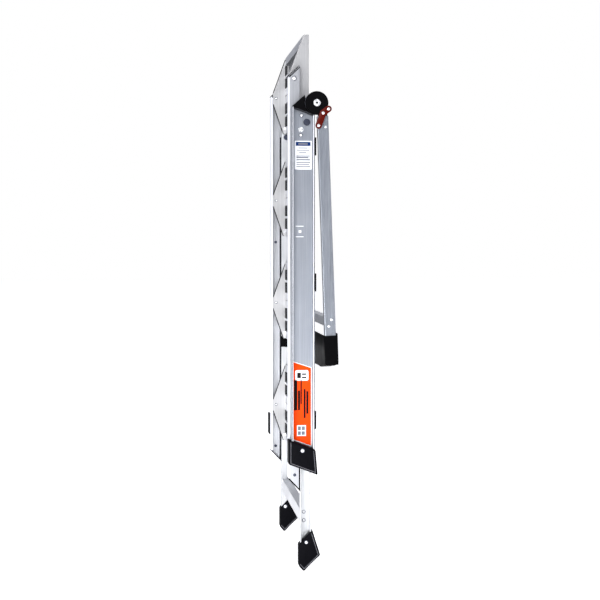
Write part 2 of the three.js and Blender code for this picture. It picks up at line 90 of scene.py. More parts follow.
studio = {
    "softboxes": [
        # name, place, size, power
        ("front_softbox", (4.6, -1.6, 2.6), 2.6, 125),
        ("low_softbox", (1.5, -0.5, 0.3), 0.7, 15),
        ("left_softbox", (1.2, -3.6, 1.8), 2.2, 34),
        ("right_softbox", (1.6, 3.4, 1.4), 1.4, 22),
        ("rear_softbox", (-3.2, 1.6, 2.4), 2.2, 40),
        ("top_softbox", (0.4, -0.6, 4.2), 2.2, 26),
    ],
    # what the metal mirrors, from the floor up
    "room": [
        (0.36, (0.7, 0.71, 0.73)),
        (0.5, (0.46, 0.475, 0.52)),
        (0.62, (0.27, 0.28, 0.32)),
        (1.0, (0.2, 0.21, 0.24)),
    ],
    "backdrop": 1.0,
    "floorGlow": 0.8,
    "floorReach": 30,
    "floorDrop": 0.5 * mm,  # the floor lies this far under the feet
    "aim": (0, 0, 0.8),
}


def addStudio():
    world = bpy.data.worlds.new("studio")
    world.use_nodes = True
    tree = world.node_tree
    out = tree.nodes["World Output"]
    room = tree.nodes["Background"]
    place = tree.nodes.new("ShaderNodeTexCoord")
    split = tree.nodes.new("ShaderNodeSeparateXYZ")
    tree.links.new(place.outputs["Generated"], split.inputs["Vector"])
    height = rescale(tree, split.outputs["Z"], 0, 1, -1, 1)
    tree.links.new(ramp(tree, height, studio["room"]), room.inputs["Color"])
    pale = tree.nodes.new("ShaderNodeBackground")
    pale.inputs["Color"].default_value = (1, 1, 1, 1)
    pale.inputs["Strength"].default_value = studio["backdrop"]
    seen = tree.nodes.new("ShaderNodeLightPath")
    mix = tree.nodes.new("ShaderNodeMixShader")
    tree.links.new(seen.outputs["Is Camera Ray"], mix.inputs["Fac"])
    tree.links.new(room.outputs["Background"], mix.inputs[1])
    tree.links.new(pale.outputs["Background"], mix.inputs[2])
    tree.links.new(mix.outputs["Shader"], out.inputs["Surface"])
    bpy.context.scene.world = world
    bpy.context.scene.view_settings.view_transform = "Standard"
    for name, place, size, power in studio["softboxes"]:
        lamp = bpy.data.lights.new(name, "AREA")
        lamp.shape = "SQUARE"
        lamp.size = size
        lamp.energy = power
        box = bpy.data.objects.new(name, lamp)
        box.location = place
        toLadder = Vector(studio["aim"]) - Vector(place)
        box.rotation_euler = toLadder.to_track_quat("-Z", "Y").to_euler()
        box.visible_camera = False
        bpy.context.scene.collection.objects.link(box)
    paper = bpy.data.materials.new("floor_paper")
    paper.use_nodes = True
    skin = paper.node_tree.nodes["Principled BSDF"]
    skin.inputs["Base Color"].default_value = (0.86, 0.86, 0.86, 1)
    skin.inputs["Roughness"].default_value = 0.9
    skin.inputs["Emission Color"].default_value = (1, 1, 1, 1)
    skin.inputs["Emission Strength"].default_value = studio["floorGlow"]
    reach = studio["floorReach"]
    mesh = bpy.data.meshes.new("floor")
    corners = [(-reach, -reach, 0), (reach, -reach, 0), (reach, reach, 0), (-reach, reach, 0)]
    mesh.from_pydata(corners, [], [(0, 1, 2, 3)])
    mesh.materials.append(paper)
    floor = bpy.data.objects.new("floor", mesh)
    floor.location.z = -studio["floorDrop"]
    bpy.context.scene.collection.objects.link(floor)


def newMaterial(name):
    mat = bpy.data.materials.new(name)
    mat.use_nodes = True
    return mat, mat.node_tree, mat.node_tree.nodes["Principled BSDF"]


def stretchedNoise(tree, scale, detail, rough):
    place = tree.nodes.new("ShaderNodeTexCoord")
    stretch = tree.nodes.new("ShaderNodeMapping")
    stretch.inputs["Scale"].default_value = scale
    noise = tree.nodes.new("ShaderNodeTexNoise")
    noise.inputs["Scale"].default_value = 1
    noise.inputs["Detail"].default_value = detail
    noise.inputs["Roughness"].default_value = rough
    tree.links.new(place.outputs["Object"], stretch.inputs["Vector"])
    tree.links.new(stretch.outputs["Vector"], noise.inputs["Vector"])
    return noise.outputs["Fac"]


def ramp(tree, source, stops):
    node = tree.nodes.new("ShaderNodeValToRGB")
    while len(node.color_ramp.elements) < len(stops):
        node.color_ramp.elements.new(0.5)
    for element, (at, colour) in zip(node.color_ramp.elements, stops):
        element.position = at
        element.color = (*colour, 1)
    tree.links.new(source, node.inputs["Fac"])
    return node.outputs["Color"]


def rescale(tree, source, low, high, fromLow=0.3, fromHigh=0.7):
    node = tree.nodes.new("ShaderNodeMapRange")
    node.inputs["From Min"].default_value = fromLow
    node.inputs["From Max"].default_value = fromHigh
    node.inputs["To Min"].default_value = low
    node.inputs["To Max"].default_value = high
    tree.links.new(source, node.inputs["Value"])
    return node.outputs["Result"]


def blendColours(tree, factor, a, b):
    # a and b are each a colour, or an output that gives one
    node = tree.nodes.new("ShaderNodeMix")
    node.data_type = "RGBA"
    tree.links.new(factor, node.inputs["Factor"])
    for socket, value in ((node.inputs[6], a), (node.inputs[7], b)):
        if isinstance(value, tuple):
            socket.default_value = (*value, 1)
        else:
            tree.links.new(value, socket)
    return node.outputs[2]


def bump(tree, skin, height, distance, strength):
    node = tree.nodes.new("ShaderNodeBump")
    node.inputs["Strength"].default_value = strength
    node.inputs["Distance"].default_value = distance
    tree.links.new(height, node.inputs["Height"])
    tree.links.new(node.outputs["Normal"], skin.inputs["Normal"])


def drawnAluminium(name, tone, along="z", rough=(0.3, 0.46), grain=0.07, metal=0.9, smudge=0.5):
    # extruded stock: fine die lines along its length, faint smudges from handling
    mat, tree, skin = newMaterial(name)
    fine = {"x": (5, 520, 520), "z": (520, 520, 5)}[along]
    broad = {"x": (1.2, 60, 60), "z": (60, 60, 1.2)}[along]
    dieLines = stretchedNoise(tree, fine, 3, 0.7)
    bands = stretchedNoise(tree, broad, 2, 0.5)
    smudges = stretchedNoise(tree, (9, 9, 9), 6, 0.65)
    dark = tuple(c * (1 - 2.2 * grain) for c in tone)
    light = tuple(min(1, c * (1 + grain)) for c in tone)
    lines = ramp(tree, dieLines, [(0.32, dark), (0.68, light)])
    banded = blendColours(tree, rescale(tree, bands, 0.0, 0.35), lines, tuple(c * 0.86 for c in tone))
    smudged = rescale(tree, smudges, 0.0, 0.22 * smudge, 0.52, 0.72)
    marked = blendColours(tree, smudged, banded, (0.42, 0.42, 0.43))
    tree.links.new(marked, skin.inputs["Base Color"])
    skin.inputs["Metallic"].default_value = metal
    tree.links.new(rescale(tree, smudges, *rough), skin.inputs["Roughness"])
    bump(tree, skin, dieLines, 0.00012, 0.35)
    return mat


def mouldedPlastic(
    name, tone, rough=(0.34, 0.5), scuff=(0.012, 0.012, 0.015), pebble=900, coat=0.0, shine=0.04,
):
    # pebbled moulding, a little uneven in shade and scuffed in places
    mat, tree, skin = newMaterial(name)
    pebbles = stretchedNoise(tree, (pebble, pebble, pebble), 2, 0.5)
    wear = stretchedNoise(tree, (30, 30, 22), 8, 0.72)
    shade = stretchedNoise(tree, (14, 14, 10), 3, 0.5)
    tint = blendColours(tree, rescale(tree, shade, 0, 0.5), tone, tuple(c * 0.6 for c in tone))
    worn = blendColours(tree, rescale(tree, wear, 0, 0.1, 0.56, 0.74), tint, scuff)
    tree.links.new(worn, skin.inputs["Base Color"])
    tree.links.new(rescale(tree, wear, *rough), skin.inputs["Roughness"])
    skin.inputs["Specular IOR Level"].default_value = shine
    skin.inputs["Coat Weight"].default_value = coat
    skin.inputs["Coat Roughness"].default_value = 0.12
    bump(tree, skin, pebbles, 0.00006, 0.25)
    return mat


def platedSteel(name, tone, metal, rough=(0.2, 0.36)):
    # bright plating with darker spots and fine turning marks
    mat, tree, skin = newMaterial(name)
    spots = stretchedNoise(tree, (260, 260, 260), 4, 0.6)
    turns = stretchedNoise(tree, (30, 900, 900), 2, 0.5)
    colour = ramp(tree, spots, [(0.3, tuple(c * 0.78 for c in tone)), (0.62, tone)])
    tree.links.new(colour, skin.inputs["Base Color"])
    skin.inputs["Metallic"].default_value = metal
    tree.links.new(rescale(tree, spots, *rough), skin.inputs["Roughness"])
    bump(tree, skin, turns, 0.00006, 0.3)
    return mat


def printedFilm(name, tone, fade=0.12):
    # a printed vinyl label: faintly mottled ink under a clear film
    mat, tree, skin = newMaterial(name)
    mottle = stretchedNoise(tree, (70, 70, 70), 5, 0.6)
    film = stretchedNoise(tree, (400, 400, 400), 2, 0.5)
    ink = ramp(tree, mottle, [(0.3, tuple(c * (1 - fade) for c in tone)), (0.65, tone)])
    tree.links.new(ink, skin.inputs["Base Color"])
    tree.links.new(rescale(tree, mottle, 0.42, 0.56), skin.inputs["Roughness"])
    skin.inputs["Specular IOR Level"].default_value = 0.08
    bump(tree, skin, film, 0.00003, 0.2)
    return mat


addCamera()
addStudio()
print("camera and studio set")

railMetal = drawnAluminium("rail_aluminium", (0.54, 0.55, 0.57))
rearMetal = drawnAluminium("rear_rail_aluminium", (0.29, 0.31, 0.35), rough=(0.34, 0.46), grain=0.08)
linkMetal = drawnAluminium("link_rail_aluminium", (0.43, 0.44, 0.47), rough=(0.32, 0.44), metal=0.7)
handMetal = drawnAluminium("handrail_aluminium", (0.30, 0.32, 0.36), rough=(0.3, 0.42), grain=0.14)
# near white and hardly metallic: painted highlight on the rails' rounded lips and edges
lipHighlight = drawnAluminium("rail_lip_painted_highlight", (0.80, 0.81, 0.87), metal=0.2, grain=0.02, smudge=0.2)
treadMetal = drawnAluminium("tread_aluminium", (0.64, 0.65, 0.68), along="x", rough=(0.28, 0.44))
# dark finish of the planks' recesses: painted shade under the treads
shadedUnderside = drawnAluminium(
    "tread_underside_painted_shade", (0.16, 0.165, 0.18), along="x", rough=(0.45, 0.6), metal=0.7,
)
# near black pads: painted shade where the planks' recesses meet the cheeks
recessShadePads = drawnAluminium(
    "cheek_painted_shade", (0.018, 0.018, 0.022), along="x", rough=(0.6, 0.7), metal=0.1,
)
braceMetal = drawnAluminium("brace_aluminium", (0.58, 0.59, 0.62), along="x")
cheekMetal = drawnAluminium(
    "cheek_aluminium", (0.43, 0.43, 0.44), rough=(0.36, 0.5), grain=0.06, metal=0.7,
)
zinc = platedSteel("zinc_plated_steel", (0.90, 0.91, 0.94), metal=0.6)
# dark steel for the main pivot bolts and link rail rivets; also paints the shadow rings under rivet heads
darkSteelAndShadow = platedSteel("dark_bolt_steel_and_painted_shadow", (0.05, 0.056, 0.085), metal=0.7, rough=(0.3, 0.45))
footRubber = mouldedPlastic("foot_rubber", (0.002, 0.002, 0.0035), rough=(0.42, 0.6), pebble=520)
# lighter rubber for the raised welts: painted rim highlight on the boots
weltHighlight = mouldedPlastic("foot_welt_painted_highlight", (0.16, 0.16, 0.18), rough=(0.4, 0.55), pebble=520)
capPlastic = mouldedPlastic("cap_plastic", (0.0015, 0.0015, 0.002))
# near black: painted shade in the gaps round the cheeks and link rails, and in the hinge bolt's socket
paintedShadeBlack = mouldedPlastic("edging_painted_shade", (0.003, 0.003, 0.005), shine=0.05)
gripPlastic = mouldedPlastic("grip_plastic", (0.002, 0.002, 0.0025), rough=(0.42, 0.56), shine=0.02)
latchPlastic = mouldedPlastic(
    "latch_plastic", (0.085, 0.005, 0.002), rough=(0.2, 0.34), scuff=(0.2, 0.03, 0.015), pebble=300,
    coat=0.05,
)
orangeFilm = printedFilm("orange_film", (0.98, 0.062, 0.0), 0.05)
whiteFilm = printedFilm("white_film", (0.92, 0.94, 0.97), 0.04)
blueFilm = printedFilm("blue_film", (0.006, 0.03, 0.14))
inkFilm = printedFilm("dark_ink", (0.006, 0.002, 0.002))
# grey print for the labels; also paints the highlight arc on the hinge caps' edges
greyPrintAndHighlight = printedFilm("grey_print_and_painted_highlight", (0.17, 0.18, 0.22), 0.06)
print("materials made")


def addMesh(name, build, material):
    # build fills the mesh it is given
    mesh = bpy.data.meshes.new(name)
    bm = bmesh.new()
    build(bm)
    bmesh.ops.recalc_face_normals(bm, faces=bm.faces)
    bm.to_mesh(mesh)
    bm.free()
    mesh.materials.append(material)
    piece = bpy.data.objects.new(name, mesh)
    bpy.context.scene.collection.objects.link(piece)
    return piece


def sweep(bm, outline, start, end, axis):
    # a closed outline carried straight along X or Z
    def point(a, b, t):
        return (t, a, b) if axis == "x" else (a, b, t)

    first = [bm.verts.new(point(a, b, start)) for a, b in outline]
    last = [bm.verts.new(point(a, b, end)) for a, b in outline]
    count = len(outline)
    for i in range(count):
        j = (i + 1) % count
        bm.faces.new((first[i], first[j], last[j], last[i]))
    bm.faces.new(first)
    bm.faces.new(list(reversed(last)))


def lathe(bm, profile, at, toward, count):
    # a profile of (distance out along X, radius) turned about the X line through at
    rings = []
    for out, radius in profile:
        x = at[0] + toward * out
        if radius <= 0:
            rings.append([bm.verts.new((x, at[1], at[2]))])
            continue
        rings.append([
            bm.verts.new((
                x,
                at[1] + radius * math.cos(2 * math.pi * k / count),
                at[2] + radius * math.sin(2 * math.pi * k / count),
            ))
            for k in range(count)
        ])
    for low, high in zip(rings, rings[1:]):
        for k in range(count):
            m = (k + 1) % count
            corners = [low[k % len(low)], low[m % len(low)], high[m % len(high)], high[k % len(high)]]
            unique = [v for i, v in enumerate(corners) if v not in corners[:i]]
            if len(unique) > 2:
                bm.faces.new(unique)


def soften(piece, width, segments=2, angle=35):
    piece.data.polygons.foreach_set("use_smooth", [True] * len(piece.data.polygons))
    bevel = piece.modifiers.new("soft_edges", "BEVEL")
    bevel.width = width
    bevel.segments = segments
    bevel.limit_method = "ANGLE"
    bevel.angle_limit = math.radians(angle)
    bevel.use_clamp_overlap = True
    even = piece.modifiers.new("even_shading", "WEIGHTED_NORMAL")
    even.keep_sharp = True


def settle(piece, body, slotName, *replaced):
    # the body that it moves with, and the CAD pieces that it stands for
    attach(piece, body)
    if replaced:
        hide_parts(*replaced)


def arc(centre, radius, start, end, count):
    # points on an arc, degrees, from start to end
    turns = [math.radians(start + (end - start) * i / (count - 1)) for i in range(count)]
    return [(centre[0] + radius * math.cos(t), centre[1] + radius * math.sin(t)) for t in turns]


def roundedOutline(points, radius, count=5):
    # the same outline with each corner eased to the radius
    eased = []
    total = len(points)
    for i in range(total):
        here = Vector(points[i])
        before = Vector(points[i - 1]) - here
        after = Vector(points[(i + 1) % total]) - here
        reach = min(radius, 0.45 * before.length, 0.45 * after.length)
        a = here + before.normalized() * reach
        b = here + after.normalized() * reach
        for k in range(count):
            t = k / (count - 1)
            eased.append(tuple((1 - t) ** 2 * a + 2 * t * (1 - t) * here + t ** 2 * b))
    return eased


def ribbon(path, width):
    # a strip on the left of an open path, or on its right if width is negative, with mitred bends
    away = []
    for i, here in enumerate(path):
        runs = [Vector(b) - Vector(a) for a, b in zip(path[max(i - 1, 0):i + 1], path[max(i, 1):i + 2])]
        if i == 0:
            runs = [Vector(path[1]) - Vector(here)]
        normals = [Vector((-r.y, r.x)).normalized() for r in runs]
        middle = sum(normals, Vector((0, 0))).normalized()
        away.append(tuple(Vector(here) + middle * width / max(0.4, middle.dot(normals[0]))))
    return list(path) + list(reversed(away))


def easedEnds(bm, outline, start, end, radius):
    # the outline carried along X, with its two faces rounded over
    count = 4
    middle = sum((Vector(p) for p in outline), Vector((0, 0))) / len(outline)
    reach = sum((Vector(p) - middle).length for p in outline) / len(outline)
    turns = [math.pi / 2 * k / count for k in range(count + 1)]
    low = [(start + radius * (1 - math.cos(t)), radius * (1 - math.sin(t))) for t in turns]
    high = [(start + end - x, inset) for x, inset in reversed(low)]
    rings = []
    for x, inset in low + high:
        share = 1 - inset / reach
        spots = [middle + (Vector(p) - middle) * share for p in outline]
        rings.append([bm.verts.new((x, spot.x, spot.y)) for spot in spots])
    for a, b in zip(rings, rings[1:]):
        for i in range(len(outline)):
            j = (i + 1) % len(outline)
            bm.faces.new((a[i], a[j], b[j], b[i]))
    bm.faces.new(rings[0])
    bm.faces.new(list(reversed(rings[-1])))


def smoothShade(piece, angle=35):
    piece.data.polygons.foreach_set("use_smooth", [True] * len(piece.data.polygons))
    piece.data.set_sharp_from_angle(angle=math.radians(angle))
    return piece


def dressNode(name, material, edge):
    # a CAD piece that keeps its shape: its own finish and eased edges
    node = nodes[name]
    node.data.materials.clear()
    node.data.materials.append(material)
    if "custom_normal" in node.data.attributes:
        node.data.attributes.remove(node.data.attributes["custom_normal"])
    weld = node.modifiers.new("joined_corners", "WELD")
    weld.merge_threshold = 0.00002
    soften(node, edge)


for side in sides:
    dressNode(f"front_rail_{side}", railMetal, 0.5 * mm)
    dressNode(f"link_rail_{side}", linkMetal, 0.5 * mm)
    dressNode(f"rear_rail_{side}", rearMetal, 0.5 * mm)
    dressNode(f"main_pivot_bolt_{side}", darkSteelAndShadow, 0.6 * mm)
    dressNode(f"hinge_bolt_{side}", zinc, 0.6 * mm)
    dressNode(f"hinge_cap_{side}", capPlastic, 1.0 * mm)
    dressNode(f"hinge_knuckle_{side}", capPlastic, 1.6 * mm)
    for place in ("lower", "middle", "upper"):
        dressNode(f"brace_plug_{place}_{side}", capPlastic, 0.6 * mm)
    for step in steps:
        dressNode(f"{step}_cheek_{side}", cheekMetal, 0.4 * mm)
        dressNode(f"{step}_pin_{side}", zinc, 0.4 * mm)
for place in ("lower", "middle", "upper"):
    dressNode(f"rear_brace_{place}", braceMetal, 0.4 * mm)
dressNode("front_brace", braceMetal, 0.4 * mm)
dressNode("handrail_brace", braceMetal, 0.5 * mm)
dressNode("storage_catch", capPlastic, 0.5 * mm)
print("CAD pieces dressed")


plank = {
    "grooveEvery": 6.4 * mm,
    "grooveDepth": 0.9 * mm,
    "edgeMargin": 5 * mm,
    "skin": 3 * mm,
    "edgeBox": 22 * mm,
    "rib": 6 * mm,
}


def treadSection(low, high):
    # standing face at the back (+Y) with fine grip ridges, ribs and edge boxes underneath
    back, under = high.y, low.y
    skin = back - plank["skin"]
    bottom, top = low.z, high.z
    middle = (bottom + top) / 2
    face = [(back, bottom)]
    z = bottom + plank["edgeMargin"]
    while z < top - plank["edgeMargin"] - plank["grooveEvery"] / 2:
        for dy, dz in ((0, 0), (-1, 0.18), (-1, 0.42), (0, 0.60)):
            face.append((back + dy * plank["grooveDepth"], z + dz * plank["grooveEvery"]))
        z += plank["grooveEvery"]
    face.append((back, top))
    box, rib = plank["edgeBox"], plank["rib"] / 2
    below = [
        (under, top), (under, top - box), (skin, top - box),
        (skin, middle + rib), (under, middle + rib), (under, middle - rib), (skin, middle - rib),
        (skin, bottom + box), (under, bottom + box), (under, bottom),
    ]
    return face + below


for step in steps:
    for part in ("front_plank", "rear_plank"):
        low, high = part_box(f"{step}_{part}")
        section = treadSection(low, high)
        tread = addMesh(
            f"{step}_{part}_ribbed", lambda bm: sweep(bm, section, low.x, high.x, "x"), treadMetal,
        )
        # the recess faces take the dark finish: painted shade between the ribs
        tread.data.materials.append(shadedUnderside)  # for the recesses between the ribs
        for face in tread.data.polygons:
            if low.y + 1 * mm < face.center.y < high.y - 2 * mm and abs(face.normal.x) < 0.5:
                face.material_index = 1
        soften(tread, 0.25 * mm, 1, 40)
        settle(tread, step, "tread_aluminium", f"{step}_{part}")
print("treads ribbed")


def rivetHead(bm, at, toward, radius, height, dimple=True):
    profile = [
        (0, radius), (height * 0.35, radius * 0.98), (height * 0.8, radius * 0.72), (height, radius * 0.42),
    ]
    if dimple:
        profile += [(height, radius * 0.3), (height * 0.45, radius * 0.2), (height * 0.45, 0)]
    else:
        profile += [(height * 1.05, 0)]
    lathe(bm, [(0, 0)] + profile, at, toward, 20)


def rivetRow(name, body, places, radius, height, toward=None):
    # places: (x, y, z); the heads face away from the middle, unless toward is given
    def build(bm):
        for at in places:
            rivetHead(bm, at, toward or (1 if at[0] > 0 else -1), radius, height)

    # a dark ring under each head: painted shadow round the rivet
    def ring(bm):
        for at in places:
            out = toward or (1 if at[0] > 0 else -1)
            shadowRing = [(0, 0), (0, radius + 1.2 * mm), (0.35 * mm, radius + 0.9 * mm), (0.4 * mm, 0)]
            lathe(bm, shadowRing, at, out, 20)

    settle(smoothShade(addMesh(name + "_painted_shadows", ring, darkSteelAndShadow)), body, "dark_steel")

    piece = addMesh(name, build, zinc)
    piece.data.polygons.foreach_set("use_smooth", [True] * len(piece.data.polygons))
    settle(piece, body, "zinc_steel")


rivets = {
    # radius and height of the heads
    "stud": (5.4 * mm, 1.4 * mm),
    "studEnd": (3.2 * mm, 0.9 * mm),
    "linkRail": (4.5 * mm, 1.6 * mm),
    "brace": (4 * mm, 2 * mm),
    "footOuter": (4.2 * mm, 1.8 * mm),
    "footInner": (5 * mm, 1.8 * mm),
    "web": (4.2 * mm, 2 * mm),
    "rearFoot": (4.8 * mm, 1.8 * mm),
    "linkRailAt": {"bottom": 266 * mm, "spare": 909 * mm},  # above the floor
    # how far behind the rail's front, and above the floor
    "footOuterAt": (16 * mm, 80 * mm),
    "footInnerAt": (12 * mm, 79 * mm),
    "rearFootAt": (29 * mm, 339 * mm),
    # the same, but from the brace's middle
    "braceAt": [(12 * mm, 12.5 * mm), (12 * mm, -11 * mm)],
    # from the main pivot
    "webAt": [(-14 * mm, 19 * mm), (-16 * mm, -35 * mm)],
    "ringBoltAt": (-16 * mm, -20 * mm),
    # the ring bolt, as (distance out, radius)
    "ringBolt": [
        (0, 0), (0, 7.2 * mm), (1.4 * mm, 7.0 * mm), (1.4 * mm, 4.6 * mm), (0.8 * mm, 4.4 * mm),
        (0.8 * mm, 3.0 * mm), (2.4 * mm, 2.7 * mm), (2.6 * mm, 0),
    ],
}
cheekInside = 247 * mm  # the cheeks' inner faces, from the middle
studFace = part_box("step_1_cheek_right")[1].x
webFace = frontRail[0].x + 2.8 * mm  # over the front rail's web
rearWeb = rearRail[0].x + 3 * mm  # over the rear rail's web
linkFace = linkRail[1].x
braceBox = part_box("front_brace")
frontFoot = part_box("front_foot_right")
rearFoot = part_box("rear_foot_right")
datum = frontRail[0].y - 1 * mm  # the gap between the link rails and the front rails

for side, sign in sides.items():
    # link studs' formed heads, one on each tread, and the studs' riveted ends inside
    for step, pin in zip(steps, railPins):
        at = pin + linkPin
        rivetRow(f"{step}_stud_head_{side}", step, [(sign * studFace, at.y, at.z)], *rivets["stud"])
        inner = (sign * cheekInside, at.y, at.z)
        rivetRow(f"{step}_stud_end_{side}", step, [inner], *rivets["studEnd"], -sign)
    for name, reachZ in rivets["linkRailAt"].items():
        for face, x in (("outside", sign * linkFace), ("inside", sign * (linkFace - 2.5 * mm))):
            at = (x, linkPin.y + railPins[0].y + 1.5 * mm, reachZ)
            rivet = addMesh(
                f"link_rail_{name}_rivet_{face}_{side}",
                lambda bm: rivetHead(bm, at, sign if face == "outside" else -sign, *rivets["linkRail"]),
                darkSteelAndShadow,
            )
            smoothShade(rivet)
            settle(rivet, "link_rails", "dark_steel")
    braceMiddle = (braceBox[0].z + braceBox[1].z) / 2
    spots = [(sign * webFace, frontRail[0].y + dy, braceMiddle + dz) for dy, dz in rivets["braceAt"]]
    rivetRow(f"front_brace_rivets_{side}", "front_frame", spots, *rivets["brace"])
    dy, z = rivets["footOuterAt"]
    spots = [(sign * frontFoot[1].x, frontRail[0].y + dy, z)]
    rivetRow(f"front_foot_rivet_{side}", "front_frame", spots, *rivets["footOuter"])
    dy, z = rivets["footInnerAt"]
    spots = [(sign * frontFoot[0].x, frontRail[0].y + dy, z)]
    rivetRow(f"front_foot_inner_rivet_{side}", "front_frame", spots, *rivets["footInner"], -sign)
    spots = [(sign * rearWeb, mainPivot.y + dy, mainPivot.z + dz) for dy, dz in rivets["webAt"]]
    rivetRow(f"rear_web_rivets_{side}", "rear_frame", spots, *rivets["web"])
    dy, dz = rivets["ringBoltAt"]
    ringBolt = (sign * rearWeb, mainPivot.y + dy, mainPivot.z + dz)
    ring = addMesh(
        f"ring_bolt_{side}", lambda bm: lathe(bm, rivets["ringBolt"], ringBolt, sign, 28), zinc,
    )
    settle(ring, "rear_frame", "zinc_steel")
    dy, z = rivets["rearFootAt"]
    spots = [(sign * rearFoot[1].x, rearRail[0].y + dy, z)]
    rivetRow(f"rear_foot_screw_{side}", "rear_frame", spots, *rivets["rearFoot"])
print("rivets set")

# the rear rails' lips along their open side, in a pale finish that paints the highlight on their rounded
# edges
lip = {"reach": 4.2 * mm, "depth": 2.4 * mm, "radius": 0.9 * mm, "slope": math.tan(rearLean)}
for side, sign in sides.items():
    for edge, y, inward in (("front", rearRail[0].y, 1), ("back", rearRail[1].y, -1)):
        top = rearRail[1].z - lip["slope"] * (y - rearRail[0].y) - 1 * mm
        bottom = rearRail[0].z + lip["slope"] * (rearRail[1].y - y) + 16 * mm
        x, inner = sign * rearRail[1].x, sign * (rearRail[1].x - lip["depth"])
        far = y + inward * lip["reach"]
        outline = roundedOutline([(x, y), (x, far), (inner, far), (inner, y)], lip["radius"], 3)
        piece = addMesh(
            f"rear_rail_{edge}_lip_{side}", lambda bm: sweep(bm, outline, bottom, top, "z"), lipHighlight,
        )
        settle(piece, "rear_frame", "rail_aluminium")
print("rail lips set")


def strip(name, body, path, width, start, end, material, slotName):
    # a ribbon along a path of (y, z), from start to end along X
    piece = addMesh(name, lambda bm: sweep(bm, ribbon(path, width), start, end, "x"), material)
    settle(smoothShade(piece), body, slotName)


# dark strips along the ears of the cheeks and round the link rails: painted shade in the gaps between the
# parts
earEdge = {
    # from the rail pin, the ear's tip standing out to the front
    "tip": -38 * mm,
    "upperEnd": (0, 217 * mm),
    "upperTip": 112 * mm,
    "lowerTip": 76 * mm,
    "lowerEnd": (-6 * mm, -17 * mm),
}
edging = {
    "ear": 2.4 * mm,
    "earStart": cheekInside - 0.4 * mm,
    "earEnd": cheekInside + 0.2 * mm,
    "cut": 2.6 * mm,
    "trim": 1.5 * mm,
    "start": 255 * mm,
    "border": 2.4 * mm,
    "backLine": 2.8 * mm,
}
linkFlange = {
    "proud": 0.4 * mm,
    "thickness": 0.9 * mm,
    "lip": 6 * mm,
    "lipStart": 253.6 * mm,
    "lipEnd": 254.2 * mm,
    "webEdge": 3 * mm,
}
linkLow, linkHigh = linkRail
cutSlope = math.tan(frontLean)
for side, sign in sides.items():
    for step, pin in zip(steps, railPins):
        tipY = pin.y + earEdge["tip"]
        upperY, upperZ = earEdge["upperEnd"]
        lowerY, lowerZ = earEdge["lowerEnd"]
        upper = [(pin.y + upperY, pin.z + upperZ), (tipY, pin.z + earEdge["upperTip"])]
        lower = [(tipY, pin.z + earEdge["lowerTip"]), (pin.y + lowerY, pin.z + lowerZ)]
        start, end = sorted((sign * edging["earStart"], sign * edging["earEnd"]))
        for place, path in (("upper", upper), ("lower", lower)):
            strip(
                f"{step}_{place}_edging_{side}", step, path, edging["ear"], start, end,
                paintedShadeBlack, "cap_plastic",
            )
    rise = (linkHigh.y - linkLow.y) * cutSlope
    drop = (linkHigh.y - linkLow.y) / cutSlope
    start, end = sorted((sign * edging["start"], sign * linkFace))
    back = linkHigh.y
    trim = [(linkLow.y, linkLow.z + drop), (back, linkLow.z), (back, mainPivot.z)]
    strip(
        f"link_rail_edging_{side}", "link_rails", trim, -edging["trim"], start, end,
        paintedShadeBlack, "cap_plastic",
    )
    topCut = [(back, linkHigh.z), (linkLow.y, linkHigh.z - rise)]
    cover = [(y, z - edging["cut"]) for y, z in topCut]
    strip(
        f"link_rail_top_{side}", "link_rails", cover, -edging["cut"], start, end,
        paintedShadeBlack, "cap_plastic",
    )
    # the flange along the climbing side, pale to paint its highlight
    front = linkLow.y + linkFlange["thickness"] - linkFlange["proud"]
    flange = [(front, linkLow.z + drop + 2 * mm), (front, linkHigh.z - rise - 3 * mm)]
    strip(
        f"link_rail_flange_{side}", "link_rails", flange, linkFlange["thickness"], start, end,
        lipHighlight, "rail_aluminium",
    )
    # its inner lip, and the edge of its web, both pale to paint their highlights
    lipStart, lipEnd = sorted((sign * linkFlange["lipStart"], sign * linkFlange["lipEnd"]))
    lipPath = [(linkLow.y, linkLow.z + drop), (linkLow.y, linkHigh.z - rise - 4 * mm)]
    strip(
        f"link_rail_lip_{side}", "link_rails", lipPath, -linkFlange["lip"], lipStart, lipEnd,
        lipHighlight, "rail_aluminium",
    )
    a, b = sorted((sign * (linkFace - 0.2 * mm), sign * (linkFace + 0.25 * mm)))
    strip(
        f"link_rail_edge_{side}", "link_rails", lipPath, -linkFlange["webEdge"], a, b,
        lipHighlight, "rail_aluminium",
    )
    strip(
        f"link_rail_border_{side}", "link_rails", trim, edging["border"], a, b,
        paintedShadeBlack, "cap_plastic",
    )
    topBand = [(y, z - 4 * mm) for y, z in topCut]
    strip(
        f"link_rail_top_band_{side}", "link_rails", topBand, edging["cut"], a, b,
        paintedShadeBlack, "cap_plastic",
    )
    backPath = [(back, linkLow.z + 2 * mm), (back, mainPivot.z)]
    strip(
        f"link_rail_back_line_{side}", "link_rails", backPath, edging["backLine"], lipStart, lipEnd,
        paintedShadeBlack, "cap_plastic",
    )
print("edging set")


# dark pads on the cheeks' inner faces, where the planks' open undersides meet them: painted shade in the
# recess mouths
shadePad = {
    "planks": (-17 * mm, 103 * mm),  # the two planks' lower ends, from the rail pin
    "along": (23 * mm, 63 * mm),
    "front": 0.5 * mm,
    "back": 8.5 * mm,
    "height": 32 * mm,
    "corner": 1.6 * mm,
    "start": cheekInside - 0.26 * mm,
    "end": cheekInside + 0.2 * mm,
}


